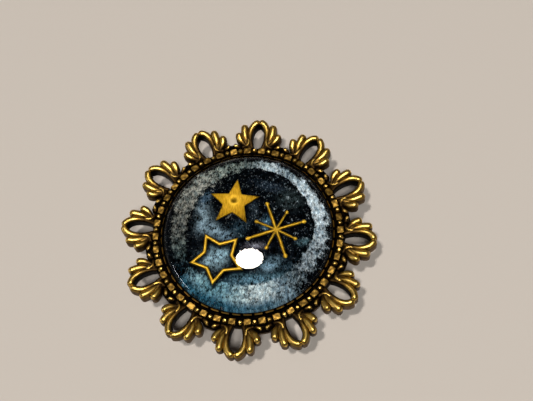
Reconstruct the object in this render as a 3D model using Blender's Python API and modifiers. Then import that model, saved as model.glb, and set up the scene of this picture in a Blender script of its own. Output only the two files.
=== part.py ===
"""A round cabochon brooch: a cast filigree setting holds a painted disc, three charms and a clear
dome, and a pin bar with a hinged needle and a locking catch is soldered to its back.

Frame: +Z is the way the face looks, +Y runs through one of the twelve loops, +X to its right.
The origin is below the centre of the dome, level with the lowest point of the pin work.
"""

import math

import bmesh
import bpy
from mathutils import Matrix

MM = 0.001

# Driving dimensions
CLEARANCE = 0.05 * MM            # between pieces that touch
SOLDER_GAP = 0.4 * MM            # thickness of the solder under the pin bar
LOOP_COUNT = 12
LOOP_PITCH = math.tau / LOOP_COUNT
TURN_STEPS = 84                  # facets round the setting, seven to a loop

# Setting, heights and radii
BACK_Z = 6.2 * MM
TRAY_FLOOR_Z = 7.0 * MM
LIP_TOP_Z = 8.5 * MM
BLOCK_RING_TOP_Z = 8.05 * MM
GROOVE_Z = 7.6 * MM
WEB_TOP_Z = 7.1 * MM
LOOP_TOP_Z = 8.4 * MM
LOOP_BOTTOM_Z = BACK_Z + 2 * CLEARANCE
TRAY_RADIUS = 14.95 * MM
LIP_OUTER_RADIUS = 15.5 * MM
BLOCK_RING_INNER_RADIUS = 15.85 * MM
BLOCK_RING_OUTER_RADIUS = 16.9 * MM
RING_FOOT_RADIUS = 17.25 * MM
LOOP_ROOT_RADIUS = 17.05 * MM
WEB_RADIUS = 18.3 * MM
RECESS_RADIUS = 14.2 * MM        # shallow recess in the back, clear of the free rim
RECESS_DEPTH = 0.25 * MM
EDGE_BREAK = 0.1 * MM

# Loops: centre of each lobe's rounded tip, across and outwards, and its radius
LOBES = (
    (3.96 * MM, 17.56 * MM, 0.45 * MM),
    (3.9 * MM, 19.8 * MM, 0.48 * MM),
    (2.6 * MM, 21.4 * MM, 0.5 * MM),
    (0.6 * MM, 22.18 * MM, 0.57 * MM),
)
LOBE_STEPS = 3
NOTCH_DEPTH = 0.55 * MM          # how far the outline dips between two lobes
HOLE_INNER = 17.4 * MM
HOLE_WIDEST = 19.8 * MM
HOLE_OUTER = 22.1 * MM
HOLE_WIDTH = 2.6 * MM
HOLE_STEPS = 4

# Painted disc, dome and charms
DISC_RADIUS = TRAY_RADIUS - 2 * CLEARANCE
DISC_THICKNESS = 0.4 * MM
DISC_Z = TRAY_FLOOR_Z + CLEARANCE
DOME_Z = DISC_Z + DISC_THICKNESS + CLEARANCE
DOME_APEX_Z = 12.0 * MM
DOME_CROWN_RADIUS = 37.0 * MM
DOME_SHOULDER_RADIUS = 12.9 * MM
DOME_WALL_TOP_Z = 8.3 * MM
DOME_STEPS = 60
CHARM_Z = 8.3 * MM
CHARM_THICKNESS = 0.5 * MM
SOLID_STAR = {"centre": (-2.67 * MM, 4.87 * MM), "tip": 4.62 * MM, "notch": 2.0 * MM,
              "turn": math.radians(88.5)}
OPEN_STAR = {"centre": (-4.44 * MM, -5.47 * MM), "tip": 5.0 * MM, "notch": 2.81 * MM,
             "turn": math.radians(121.5)}
OPEN_STAR_WIDTH = 0.62 * MM
STUD_RADIUS = 0.75 * MM
STUD_DEPTH = 0.2 * MM
BURST_CENTRE = (5.06 * MM, 0.24 * MM)
BURST_TURN = math.radians(22.9)
BURST_LONG_ARM = (5.0 * MM, 0.25 * MM, 0.36 * MM)    # reach of the ball, half width, ball radius
BURST_SHORT_ARM = (3.65 * MM, 0.18 * MM, 0.3 * MM)
BURST_HUB = 0.75 * MM
POCKET_MARGIN = 0.15 * MM        # the dome's pockets stand off the charms by this

# Pin work on the back
AXIS_Z = 1.9 * MM                # needle, hinge and catch share this height
HINGE_X = 11.4 * MM
CATCH_X = -10.9 * MM
BAR_LENGTH = 27.0 * MM
BAR_WIDTH = 4.6 * MM
BAR_THICKNESS = 0.7 * MM
SOLDER_LENGTH = 23.0 * MM
SOLDER_WIDTH = 3.4 * MM
BAR_TOP_Z = BACK_Z + RECESS_DEPTH - SOLDER_GAP - 2 * CLEARANCE
BAR_BOTTOM_Z = BAR_TOP_Z - BAR_THICKNESS
BRACKET_TOP_Z = BAR_BOTTOM_Z - CLEARANCE
BRACKET_THICKNESS = 0.45 * MM
BRACKET_BOTTOM_Z = BRACKET_TOP_Z - BRACKET_THICKNESS
EAR_RADIUS = AXIS_Z              # the ears are the lowest part of the brooch
EAR_GAP = 2.0 * MM
HINGE_FOOT_REACH = 5.6 * MM      # from the hinge axis towards the centre
HINGE_RIVET_RADIUS = 0.5 * MM
PIVOT_CLEARANCE = 0.06 * MM
RIVET_HEAD_RADIUS = 0.85 * MM
RIVET_HEAD_THICKNESS = 0.3 * MM
FOOT_RIVET_OFFSET = 4.3 * MM     # from the hinge axis towards the centre
STEM_HEAD_RADIUS = 1.35 * MM
STEM_HEAD_THICKNESS = 1.7 * MM
NEEDLE_RADIUS = 0.4 * MM
NEEDLE_TIP_RADIUS = 0.04 * MM
NEEDLE_TAPER = 5.0 * MM
NEEDLE_TIP_X = -13.3 * MM
CATCH_LENGTH = 3.2 * MM
CATCH_OUTER_RADIUS = 1.8 * MM
CATCH_INNER_RADIUS = 1.35 * MM
CATCH_MOUTH = math.radians(150)  # opening of the housing, centred on -Z
CATCH_NECK_WIDTH = 1.6 * MM
CATCH_FOOT_WIDTH = 3.4 * MM
CATCH_FOOT_REACH = 4.0 * MM      # from the middle of the catch towards the centre
CATCH_RIVET_OFFSET = 2.85 * MM
ROLLER_RADIUS = 1.25 * MM
ROLLER_BORE = 0.62 * MM
ROLLER_SLOT = 1.1 * MM
ROLLER_COLLAR_RADIUS = 1.5 * MM
ROLLER_COLLAR_LENGTH = 0.35 * MM
TAB_REACH = 2.4 * MM
TAB_THICKNESS = 0.5 * MM
TAB_LENGTH = 1.2 * MM
TAB_ANGLE = math.radians(-135)   # in the YZ plane, from +Y

for old in list(bpy.data.objects):
    bpy.data.objects.remove(old, do_unlink=True)

brooch = bpy.data.collections.new("cabochon_brooch")
cutters = bpy.data.collections.new("cutters")
bpy.context.scene.collection.children.link(brooch)
bpy.context.scene.collection.children.link(cutters)


def material(name, colour, roughness, metallic):
    """A Principled material of one colour."""
    new = bpy.data.materials.new(name)
    new.use_nodes = True
    shader = new.node_tree.nodes["Principled BSDF"]
    shader.inputs["Base Color"].default_value = (*colour, 1.0)
    shader.inputs["Roughness"].default_value = roughness
    shader.inputs["Metallic"].default_value = metallic
    return new


BRONZE = material("antique_bronze", (0.36, 0.22, 0.08), 0.35, 1.0)
PAINT = material("painted_disc", (0.02, 0.04, 0.07), 0.5, 0.0)
GILT = material("gilt_charm", (0.7, 0.42, 0.13), 0.3, 1.0)
CLEAR = material("clear_dome", (0.8, 0.85, 0.9), 0.05, 0.0)
STEEL = material("nickelled_steel", (0.5, 0.48, 0.45), 0.3, 1.0)
SOLDER = material("soft_solder", (0.4, 0.4, 0.4), 0.5, 1.0)


def add(name, mesh, collection=brooch, finish=None):
    """Link a new object for the mesh; a cutter is drawn as wire and never rendered."""
    piece = bpy.data.objects.new(name, mesh)
    collection.objects.link(piece)
    if collection is cutters:
        piece.hide_render = True
        piece.display_type = "WIRE"
    if finish:
        mesh.materials.append(finish)
    return piece


def boolean(piece, other, operation):
    """Join or cut the piece with the other object."""
    step = piece.modifiers.new(f"{operation.lower()}_{other.name}", "BOOLEAN")
    step.operation = operation
    step.object = other


def arc(centre, radius, start, end, steps):
    """Points on a round stretch from one angle to another, both ends included."""
    return [
        (centre[0] + radius * math.cos(start + (end - start) * i / steps),
         centre[1] + radius * math.sin(start + (end - start) * i / steps))
        for i in range(steps + 1)
    ]


def rounded_bar(length, width, steps=8):
    """Outline of a bar with round ends, centred on the origin and lying along X."""
    half = (length - width) / 2
    right = arc((half, 0), width / 2, -math.pi / 2, math.pi / 2, steps)
    return right + [(-x, -y) for x, y in right]


def plate(name, outlines, low, high, collection=brooch, finish=None):
    """A flat piece between two heights; an outline inside another is a hole in it."""
    flat = bpy.data.curves.new(name + "_outline", "CURVE")
    flat.dimensions = "2D"
    flat.fill_mode = "BOTH"
    flat.extrude = (high - low) / 2
    for outline in outlines:
        spline = flat.splines.new("POLY")
        spline.points.add(len(outline) - 1)
        for point, (x, y) in zip(spline.points, outline):
            point.co = (x, y, 0, 1)
        spline.use_cyclic_u = True
    curve = add(name + "_curve", flat, cutters)
    curve.location.z = (high + low) / 2
    bpy.context.view_layer.update()
    mesh = bpy.data.meshes.new_from_object(curve.evaluated_get(bpy.context.evaluated_depsgraph_get()))
    weld = bmesh.new()
    weld.from_mesh(mesh)
    bmesh.ops.remove_doubles(weld, verts=weld.verts, dist=0.0001 * MM)
    bmesh.ops.recalc_face_normals(weld, faces=weld.faces)
    weld.to_mesh(mesh)
    weld.free()
    mesh.materials.clear()
    piece = add(name, mesh, collection, finish)
    piece.matrix_world = curve.matrix_world.copy()
    bpy.data.objects.remove(curve)
    return piece


def turned(name, profile, steps, collection=brooch, finish=None):
    """A piece turned about its own Z from (radius, height) points, outer side top to bottom."""
    mesh = bpy.data.meshes.new(name)
    edges = [(i, i + 1) for i in range(len(profile) - 1)]
    mesh.from_pydata([(r, 0, z) for r, z in profile], edges, [])
    piece = add(name, mesh, collection, finish)
    screw = piece.modifiers.new("turn", "SCREW")
    screw.steps = steps
    screw.render_steps = steps
    screw.use_merge_vertices = True
    screw.merge_threshold = 0.001 * MM
    return piece


def cylinder(name, radius, length, place, collection=cutters, finish=None, sides=32):
    """A cylinder about the Z of a placing matrix."""
    mesh = bpy.data.meshes.new(name)
    solid = bmesh.new()
    bmesh.ops.create_cone(solid, cap_ends=True, segments=sides, radius1=radius, radius2=radius,
                          depth=length)
    solid.to_mesh(mesh)
    solid.free()
    piece = add(name, mesh, collection, finish)
    piece.matrix_world = place
    return piece


def block(name, size, centre, collection=cutters, finish=None, spin=0.0):
    """A box of a given size, turned about X by spin."""
    mesh = bpy.data.meshes.new(name)
    solid = bmesh.new()
    bmesh.ops.create_cube(solid, size=1.0, matrix=Matrix.Diagonal((*size, 1.0)))
    solid.to_mesh(mesh)
    solid.free()
    piece = add(name, mesh, collection, finish)
    piece.matrix_world = Matrix.Translation(centre) @ Matrix.Rotation(spin, 4, "X")
    return piece


def at(x, y, z, axis="Z"):
    """A placing matrix at a point, with its own Z along a world axis."""
    turn = {
        "Z": Matrix.Identity(4),
        "Y": Matrix.Rotation(-math.pi / 2, 4, "X"),
        "X": Matrix.Rotation(math.pi / 2, 4, "Y"),
    }[axis]
    return Matrix.Translation((x, y, z)) @ turn


def turn_points(points, angle):
    """Turn flat points about the origin."""
    c, s = math.cos(angle), math.sin(angle)
    return [(c * x - s * y, s * x + c * y) for x, y in points]


def loop_edge():
    """Outer edge of the top loop, clockwise: rounded lobes with a notch between each two.

    A lobe's tip is an arc that faces away from the hole; a notch lies midway between two tips,
    pulled towards the hole.
    """
    across = [(-x, y, r) for x, y, r in LOBES]
    tips = across + [(x, y, r) for x, y, r in reversed(LOBES)]
    middle = (0.0, HOLE_WIDEST)
    points = []
    for i, (x, y, radius) in enumerate(tips):
        out = math.atan2(y - middle[1], x - middle[0])
        points += arc((x, y), radius, out + math.radians(75), out - math.radians(75), LOBE_STEPS)
        if i < len(tips) - 1:
            nx, ny = (x + tips[i + 1][0]) / 2, (y + tips[i + 1][1]) / 2
            away = math.hypot(nx - middle[0], ny - middle[1])
            pull = NOTCH_DEPTH / 2 / away
            points.append((nx + (middle[0] - nx) * pull, ny + (middle[1] - ny) * pull))
    return points


def loop_hole():
    """The slot in the top loop: narrow at its foot, widest past its middle, pointed at its end."""
    half = HOLE_WIDTH / 2
    right = []
    for i in range(2 * HOLE_STEPS + 1):
        t = i / HOLE_STEPS - 1
        if t < 0:
            height = HOLE_WIDEST + t * (HOLE_WIDEST - HOLE_INNER)
            width = half * math.sqrt(1 - 0.82 * t * t)
        else:
            height = HOLE_WIDEST + t * (HOLE_OUTER - HOLE_WIDEST)
            width = half * (1 - t ** 2.2)
        right.append((width, height))
    return right + [(-x, y) for x, y in reversed(right) if x > CLEARANCE]


def filigree_setting():
    """Tray, bezel lip, block ring, web and twelve pierced loops, cast as one."""
    profile = [
        (0, TRAY_FLOOR_Z),
        (TRAY_RADIUS, TRAY_FLOOR_Z),
        (TRAY_RADIUS, LIP_TOP_Z - EDGE_BREAK),
        (TRAY_RADIUS + EDGE_BREAK, LIP_TOP_Z),
        (LIP_OUTER_RADIUS - EDGE_BREAK, LIP_TOP_Z),
        (LIP_OUTER_RADIUS, LIP_TOP_Z - EDGE_BREAK),
        (LIP_OUTER_RADIUS, GROOVE_Z),
        (BLOCK_RING_INNER_RADIUS, GROOVE_Z),
        (BLOCK_RING_INNER_RADIUS, BLOCK_RING_TOP_Z),
        (BLOCK_RING_OUTER_RADIUS, BLOCK_RING_TOP_Z),
        (RING_FOOT_RADIUS, BLOCK_RING_TOP_Z - 3 * EDGE_BREAK),
        (RING_FOOT_RADIUS, WEB_TOP_Z),
        (WEB_RADIUS, WEB_TOP_Z),
        (WEB_RADIUS, BACK_Z),
        (RECESS_RADIUS, BACK_Z),
        (RECESS_RADIUS, BACK_Z + RECESS_DEPTH),
        (0, BACK_Z + RECESS_DEPTH),
    ]
    setting = turned("filigree_setting", profile, TURN_STEPS, finish=BRONZE)
    edge = []
    for i in range(LOOP_COUNT):
        edge += turn_points(loop_edge(), -i * LOOP_PITCH)
    half_step = math.pi / TURN_STEPS
    root = arc((0, 0), LOOP_ROOT_RADIUS, half_step, math.tau + half_step, TURN_STEPS)[:-1]
    loops = plate("loops", [edge, root], LOOP_BOTTOM_Z, LOOP_TOP_Z, cutters)
    boolean(setting, loops, "UNION")
    holes = [turn_points(loop_hole(), -i * LOOP_PITCH) for i in range(LOOP_COUNT)]
    boolean(setting, plate("loop_holes", holes, BACK_Z - MM, LOOP_TOP_Z + MM, cutters), "DIFFERENCE")
    return setting


def star(shape, grow=0.0):
    """Outline of a five-pointed star, its tips and notches moved out by grow."""
    cx, cy = shape["centre"]
    points = []
    for i in range(10):
        reach = (shape["notch"] if i % 2 else shape["tip"]) + grow
        angle = shape["turn"] + i * math.pi / 5
        points.append((cx + reach * math.cos(angle), cy + reach * math.sin(angle)))
    return points


def starburst(grow=0.0):
    """Outline of eight arms, long and short in turn, each ending in a ball."""
    cx, cy = BURST_CENTRE
    points = []
    for i in range(8):
        reach, half, ball = BURST_SHORT_ARM if i % 2 else BURST_LONG_ARM
        half += grow
        ball += grow
        foot = BURST_HUB + grow
        neck = reach - math.sqrt(ball * ball - half * half)
        open_angle = math.asin(half / ball)
        arm = [(foot, -half), (neck, -half)]
        arm += arc((reach, 0), ball, open_angle - math.pi, math.pi - open_angle, 8)[1:-1]
        arm += [(neck, half), (foot, half)]
        points += turn_points(arm, BURST_TURN + i * math.pi / 4)
    return [(cx + x, cy + y) for x, y in points]


def solid_star_charm():
    """A flat star with a pressed round dimple near its middle."""
    top = CHARM_Z + CHARM_THICKNESS
    charm = plate("solid_star_charm", [star(SOLID_STAR)], CHARM_Z, top, finish=GILT)
    rise = (STUD_RADIUS ** 2 - STUD_DEPTH ** 2) / (2 * STUD_DEPTH)
    ball = rise + STUD_DEPTH
    mesh = bpy.data.meshes.new("star_dimple")
    solid = bmesh.new()
    bmesh.ops.create_uvsphere(solid, u_segments=24, v_segments=32, radius=ball)
    solid.to_mesh(mesh)
    solid.free()
    cutter = add("star_dimple", mesh, cutters)
    cutter.location = (*SOLID_STAR["centre"], top + rise)
    boolean(charm, cutter, "DIFFERENCE")
    return charm


def open_star_charm():
    """A star bent from flat strip, open in the middle."""
    inner = dict(OPEN_STAR)
    inner["notch"] -= OPEN_STAR_WIDTH
    inner["tip"] -= OPEN_STAR_WIDTH * OPEN_STAR["tip"] / OPEN_STAR["notch"]
    outlines = [star(OPEN_STAR), star(inner)]
    return plate("open_star_charm", outlines, CHARM_Z, CHARM_Z + CHARM_THICKNESS, finish=GILT)


def starburst_charm():
    """Eight ball-ended arms in one flat piece."""
    return plate("starburst_charm", [starburst()], CHARM_Z, CHARM_Z + CHARM_THICKNESS, finish=GILT)


def painted_backing():
    """The painted disc on the floor of the tray."""
    middle = DISC_Z + DISC_THICKNESS / 2
    return cylinder("painted_backing", DISC_RADIUS, DISC_THICKNESS, at(0, 0, middle), brooch, PAINT,
                    DOME_STEPS)


def clear_dome():
    """The clear cabochon, with pockets in its flat underside for the charms."""
    edge_angle = math.asin(DOME_SHOULDER_RADIUS / DOME_CROWN_RADIUS)
    centre_z = DOME_APEX_Z - DOME_CROWN_RADIUS
    profile = [
        (DOME_CROWN_RADIUS * math.sin(edge_angle * i / 8),
         centre_z + DOME_CROWN_RADIUS * math.cos(edge_angle * i / 8))
        for i in range(9)
    ]
    shoulder_z = profile[-1][1]
    for i in range(1, 6):
        t = math.pi / 2 * i / 5
        profile.append((
            DOME_SHOULDER_RADIUS + (DISC_RADIUS - DOME_SHOULDER_RADIUS) * math.sin(t),
            DOME_WALL_TOP_Z + (shoulder_z - DOME_WALL_TOP_Z) * math.cos(t),
        ))
    profile += [(DISC_RADIUS, DOME_Z), (0, DOME_Z)]
    dome = turned("clear_dome", profile, DOME_STEPS, finish=CLEAR)
    pocket_top = CHARM_Z + CHARM_THICKNESS + CLEARANCE
    outlines = {
        "solid_star_pocket": star(SOLID_STAR, 2 * POCKET_MARGIN),
        "open_star_pocket": star(OPEN_STAR, 2 * POCKET_MARGIN),
        "starburst_pocket": starburst(POCKET_MARGIN),
    }
    for name, outline in outlines.items():
        boolean(dome, plate(name, [outline], DOME_Z - MM, pocket_top, cutters), "DIFFERENCE")
    return dome


def solder_bed():
    """The film of solder that holds the pin bar in the recess."""
    low = BAR_TOP_Z + CLEARANCE
    outline = rounded_bar(SOLDER_LENGTH, SOLDER_WIDTH)
    return plate("solder_bed", [outline], low, low + SOLDER_GAP, finish=SOLDER)


def rivet_places():
    """Where the two brackets are riveted to the bar, by name."""
    return {
        "hinge_bracket_rivet": HINGE_X - FOOT_RIVET_OFFSET,
        "catch_rivet": CATCH_X + CATCH_RIVET_OFFSET,
    }


def rivet_hole(x):
    """Outline of a rivet's hole."""
    return arc((x, 0), HINGE_RIVET_RADIUS + PIVOT_CLEARANCE, 0, math.tau, 24)[:-1]


def pin_bar():
    """The bar that carries hinge and catch, with round ends and a hole for each rivet."""
    holes = [rivet_hole(x) for x in rivet_places().values()]
    outline = rounded_bar(BAR_LENGTH, BAR_WIDTH)
    return plate("pin_bar", [outline, *holes], BAR_BOTTOM_Z, BAR_TOP_Z, finish=BRONZE)


def bracket_rivets():
    """Rivets that hold the brackets: a head below, a plain shank up into the bar."""
    rivets = []
    for name, x in rivet_places().items():
        top = BAR_TOP_Z - CLEARANCE
        head_top = BRACKET_BOTTOM_Z - CLEARANCE
        head_bottom = head_top - RIVET_HEAD_THICKNESS
        profile = [
            (0, top),
            (HINGE_RIVET_RADIUS, top),
            (HINGE_RIVET_RADIUS, head_top),
            (RIVET_HEAD_RADIUS, head_top),
            (RIVET_HEAD_RADIUS, head_top - RIVET_HEAD_THICKNESS / 2),
            (RIVET_HEAD_RADIUS * 0.7, head_bottom),
            (0, head_bottom),
        ]
        rivet = turned(name, profile, 24, finish=STEEL)
        rivet.location.x = x
        rivets.append(rivet)
    return rivets


def hinge_bracket():
    """A U of sheet: a riveted foot and two round-ended ears, pierced for the hinge rivet."""
    ear_span = EAR_GAP + 2 * BRACKET_THICKNESS
    foot_low, foot_high = HINGE_X - HINGE_FOOT_REACH, HINGE_X + EAR_RADIUS * 0.8
    outline = [
        (foot_low, -ear_span / 2),
        (foot_high, -ear_span / 2),
        (foot_high, ear_span / 2),
        (foot_low, ear_span / 2),
    ]
    hole = rivet_hole(HINGE_X - FOOT_RIVET_OFFSET)
    bracket = plate("hinge_bracket", [outline, hole], BRACKET_BOTTOM_Z, BRACKET_TOP_Z, finish=STEEL)
    root = BRACKET_TOP_Z - BRACKET_THICKNESS / 2 - AXIS_Z
    half_root = EAR_RADIUS * 0.78
    ear = arc((0, 0), EAR_RADIUS, math.pi, math.tau, 12)
    ear = [(half_root, root), (-half_root, root)] + ear
    bore = arc((0, 0), HINGE_RIVET_RADIUS + PIVOT_CLEARANCE, 0, math.tau, 24)[:-1]
    for side, name in ((1, "hinge_ear_right"), (-1, "hinge_ear_left")):
        inside = side * EAR_GAP / 2
        outside = side * (EAR_GAP / 2 + BRACKET_THICKNESS)
        low, high = sorted((inside, outside))
        cheek = plate(name, [ear, bore], low, high, cutters)
        cheek.matrix_world = (
            Matrix.Translation((HINGE_X, (low + high) / 2, AXIS_Z)) @ Matrix.Rotation(math.pi / 2, 4, "X")
        )
        boolean(bracket, cheek, "UNION")
    return bracket


def hinge_rivet():
    """The rivet that the stem turns on, a head outside each ear."""
    shank_end = EAR_GAP / 2 + BRACKET_THICKNESS + CLEARANCE
    head_end = shank_end + RIVET_HEAD_THICKNESS
    profile = [
        (0, head_end),
        (RIVET_HEAD_RADIUS * 0.7, head_end),
        (RIVET_HEAD_RADIUS, head_end - RIVET_HEAD_THICKNESS / 2),
        (RIVET_HEAD_RADIUS, shank_end),
        (HINGE_RIVET_RADIUS, shank_end),
    ]
    profile += [(r, -z) for r, z in reversed(profile)]
    rivet = turned("hinge_rivet", profile, 24, finish=STEEL)
    rivet.matrix_world = at(HINGE_X, 0, AXIS_Z, "Y")
    return rivet


def pin_stem():
    """The needle: a flat round head on the hinge rivet and a long tapered point."""
    place = at(HINGE_X, 0, AXIS_Z, "Y")
    stem = cylinder("pin_stem", STEM_HEAD_RADIUS, STEM_HEAD_THICKNESS, place, brooch, STEEL)
    start = HINGE_X - STEM_HEAD_RADIUS * 0.75
    profile = [
        (0, NEEDLE_TIP_X),
        (NEEDLE_TIP_RADIUS, NEEDLE_TIP_X),
        (NEEDLE_RADIUS * 0.75, NEEDLE_TIP_X + NEEDLE_TAPER / 2),
        (NEEDLE_RADIUS, NEEDLE_TIP_X + NEEDLE_TAPER),
        (NEEDLE_RADIUS, start),
        (0, start),
    ]
    needle = turned("needle", [(r, -z) for r, z in profile], 16, cutters)
    needle.matrix_world = Matrix.Translation((0, 0, AXIS_Z)) @ Matrix.Rotation(-math.pi / 2, 4, "Y")
    boolean(stem, needle, "UNION")
    bore = cylinder("stem_bore", HINGE_RIVET_RADIUS + PIVOT_CLEARANCE, 2 * STEM_HEAD_THICKNESS, place)
    boolean(stem, bore, "DIFFERENCE")
    return stem


def catch_housing():
    """A C-shaped sleeve on a neck and a riveted foot; its mouth looks away from the bar."""
    foot_low = CATCH_X - CATCH_LENGTH / 2
    foot_high = CATCH_X + CATCH_FOOT_REACH
    half = CATCH_FOOT_WIDTH / 2
    outline = [(foot_low, -half), (foot_high, -half), (foot_high, half), (foot_low, half)]
    hole = rivet_hole(CATCH_X + CATCH_RIVET_OFFSET)
    housing = plate("catch_housing", [outline, hole], BRACKET_BOTTOM_Z, BRACKET_TOP_Z, finish=BRONZE)
    neck_low = AXIS_Z + (CATCH_INNER_RADIUS + CATCH_OUTER_RADIUS) / 2
    neck_high = BRACKET_BOTTOM_Z + BRACKET_THICKNESS / 2
    size = (CATCH_LENGTH - 2 * EDGE_BREAK, CATCH_NECK_WIDTH, neck_high - neck_low)
    boolean(housing, block("catch_neck", size, (CATCH_X, 0, (neck_low + neck_high) / 2)), "UNION")
    start = CATCH_MOUTH / 2 - math.pi / 2
    end = 3 * math.pi / 2 - CATCH_MOUTH / 2
    section = arc((0, 0), CATCH_OUTER_RADIUS, start, end, 20)
    section += arc((0, 0), CATCH_INNER_RADIUS, end, start, 20)
    sleeve = plate("catch_sleeve", [section], -CATCH_LENGTH / 2, CATCH_LENGTH / 2, cutters)
    sleeve.matrix_world = (
        Matrix.Translation((CATCH_X, 0, AXIS_Z))
        @ Matrix.Rotation(math.pi / 2, 4, "Z")
        @ Matrix.Rotation(math.pi / 2, 4, "X")
    )
    boolean(housing, sleeve, "UNION")
    return housing


def catch_roller():
    """The turning lock: a slotted barrel with an end collar each side and a thumb tab."""
    half = CATCH_LENGTH / 2 + CLEARANCE
    end = half + ROLLER_COLLAR_LENGTH
    profile = [
        (ROLLER_BORE, end),
        (ROLLER_COLLAR_RADIUS, end),
        (ROLLER_COLLAR_RADIUS, half),
        (ROLLER_RADIUS, half),
    ]
    profile += [(r, -z) for r, z in reversed(profile)]
    profile.append(profile[0])
    roller = turned("catch_roller", profile, 32, finish=BRONZE)
    roller.matrix_world = at(CATCH_X, 0, AXIS_Z, "X")
    inner = (ROLLER_BORE + ROLLER_RADIUS) / 2
    reach = TAB_REACH - inner
    middle = (TAB_REACH + inner) / 2
    centre = (CATCH_X, middle * math.cos(TAB_ANGLE), AXIS_Z + middle * math.sin(TAB_ANGLE))
    tab = block("thumb_tab", (TAB_LENGTH, reach, TAB_THICKNESS), centre, spin=TAB_ANGLE)
    boolean(roller, tab, "UNION")
    depth = 2 * ROLLER_COLLAR_RADIUS
    slot = block("roller_slot", (2 * end + MM, ROLLER_SLOT, depth), (CATCH_X, 0, AXIS_Z - depth / 2))
    boolean(roller, slot, "DIFFERENCE")
    return roller


filigree_setting()
painted_backing()
solid_star_charm()
open_star_charm()
starburst_charm()
clear_dome()
solder_bed()
pin_bar()
bracket_rivets()
hinge_bracket()
hinge_rivet()
pin_stem()
catch_housing()
catch_roller()

for piece in brooch.objects:
    piece.data.shade_smooth()
    piece.data.set_sharp_from_angle(angle=math.radians(30))
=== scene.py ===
import bmesh
import bpy
import numpy as np
from mathutils import Matrix, Vector


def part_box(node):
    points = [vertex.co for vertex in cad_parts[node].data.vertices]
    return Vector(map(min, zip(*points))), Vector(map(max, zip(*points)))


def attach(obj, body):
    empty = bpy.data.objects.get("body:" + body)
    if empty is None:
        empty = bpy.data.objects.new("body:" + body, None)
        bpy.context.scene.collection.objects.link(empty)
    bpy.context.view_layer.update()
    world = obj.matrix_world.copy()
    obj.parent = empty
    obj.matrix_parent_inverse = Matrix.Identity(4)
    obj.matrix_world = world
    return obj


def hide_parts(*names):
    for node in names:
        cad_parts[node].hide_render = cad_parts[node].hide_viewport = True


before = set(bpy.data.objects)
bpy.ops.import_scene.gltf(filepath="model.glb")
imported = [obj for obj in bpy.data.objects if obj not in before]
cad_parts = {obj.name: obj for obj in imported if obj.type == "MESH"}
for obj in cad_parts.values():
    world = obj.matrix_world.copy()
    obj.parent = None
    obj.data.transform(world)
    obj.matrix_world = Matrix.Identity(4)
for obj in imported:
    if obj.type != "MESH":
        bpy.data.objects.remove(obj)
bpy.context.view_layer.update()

# ---------------------------------------------------------------------------------------------
# Tray of the setting: the floor that carries the painted disc, the flat back with its shallow
# recess, and the thin web that runs out between the loops. It is one brass casting with the
# bezel, the block ring and the loops, which are pieces of their own here. All lengths are in mm.

MM = 0.001


def linear(code):
    """sRGB hex to linear RGBA: each channel c becomes ((c + 0.055) / 1.055) ** 2.4, and a dark
    one, up to 0.04045, becomes c / 12.92."""
    channels = np.array([int(code[i:i + 2], 16) for i in (0, 2, 4)]) / 255
    curved = np.where(channels > 0.04045, ((channels + 0.055) / 1.055) ** 2.4, channels / 12.92)
    return (*curved.tolist(), 1.0)


def add_node(tree, kind, inputs=None, ramp=None, **settings):
    """Add a node, give it its settings and colour stops, and link or set its inputs."""
    node = tree.nodes.new("ShaderNode" + kind)
    for name, value in settings.items():
        setattr(node, name, value)
    if ramp:
        stops = node.color_ramp.elements
        for place, code in ramp[len(stops):]:
            stops.new(place)
        for stop, (place, code) in zip(stops, ramp):
            stop.position = place
            stop.color = linear(code)
    for name, value in (inputs or {}).items():
        if isinstance(value, bpy.types.NodeSocket):
            tree.links.new(value, node.inputs[name])
        else:
            node.inputs[name].default_value = value
    return node


def new_material(name):
    """An empty node material and its tree."""
    material = bpy.data.materials.new(name)
    material.use_nodes = True
    material.node_tree.nodes.clear()
    return material, material.node_tree


def smooth(t):
    """3 t^2 - 2 t^3 between 0 and 1, level at both ends."""
    t = np.clip(t, 0, 1)
    return t * t * (3 - 2 * t)


def surface(name, grids, material, wrap=(False, False), crease=35, **fields):
    """A mesh from grids of points, shape (copies, rows, columns, 3), in millimetres.

    Four neighbouring points span a face. wrap joins the last row or column to the first. Points
    that coincide, as at a pole, are merged, and the faces of each closed body are turned outwards.
    An edge that bends by more than crease degrees stays sharp. A field is a number or a colour
    for each grid point, kept as an attribute that the material reads.
    """
    copies, rows, columns = grids.shape[:3]
    index = np.arange(copies * rows * columns).reshape(copies, rows, columns)
    if wrap[0]:
        index = np.concatenate([index, index[:, :1]], 1)
    if wrap[1]:
        index = np.concatenate([index, index[:, :, :1]], 2)
    corners = (index[:, :-1, :-1], index[:, 1:, :-1], index[:, 1:, 1:], index[:, :-1, 1:])
    faces = np.stack(corners, -1).reshape(-1, 4)
    mesh = bpy.data.meshes.new(name)
    mesh.from_pydata((grids.reshape(-1, 3) * MM).tolist(), [], faces.tolist())
    for field, values in fields.items():
        values = np.broadcast_to(values, grids.shape[:3] + np.shape(values)[3:])
        kind = "FLOAT_COLOR" if values.ndim == 4 else "FLOAT"
        attribute = mesh.attributes.new(field, kind, "POINT")
        attribute.data.foreach_set("color" if values.ndim == 4 else "value",
                                   np.ascontiguousarray(values, np.float32).ravel())
    shell = bmesh.new()
    shell.from_mesh(mesh)
    bmesh.ops.remove_doubles(shell, verts=shell.verts, dist=0.0005 * MM)
    bmesh.ops.recalc_face_normals(shell, faces=shell.faces)
    shell.to_mesh(mesh)
    shell.free()
    mesh.shade_smooth()
    mesh.set_sharp_from_angle(angle=np.radians(crease))
    mesh.materials.append(material)
    piece = bpy.data.objects.new(name, mesh)
    bpy.context.scene.collection.objects.link(piece)
    return piece


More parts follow.
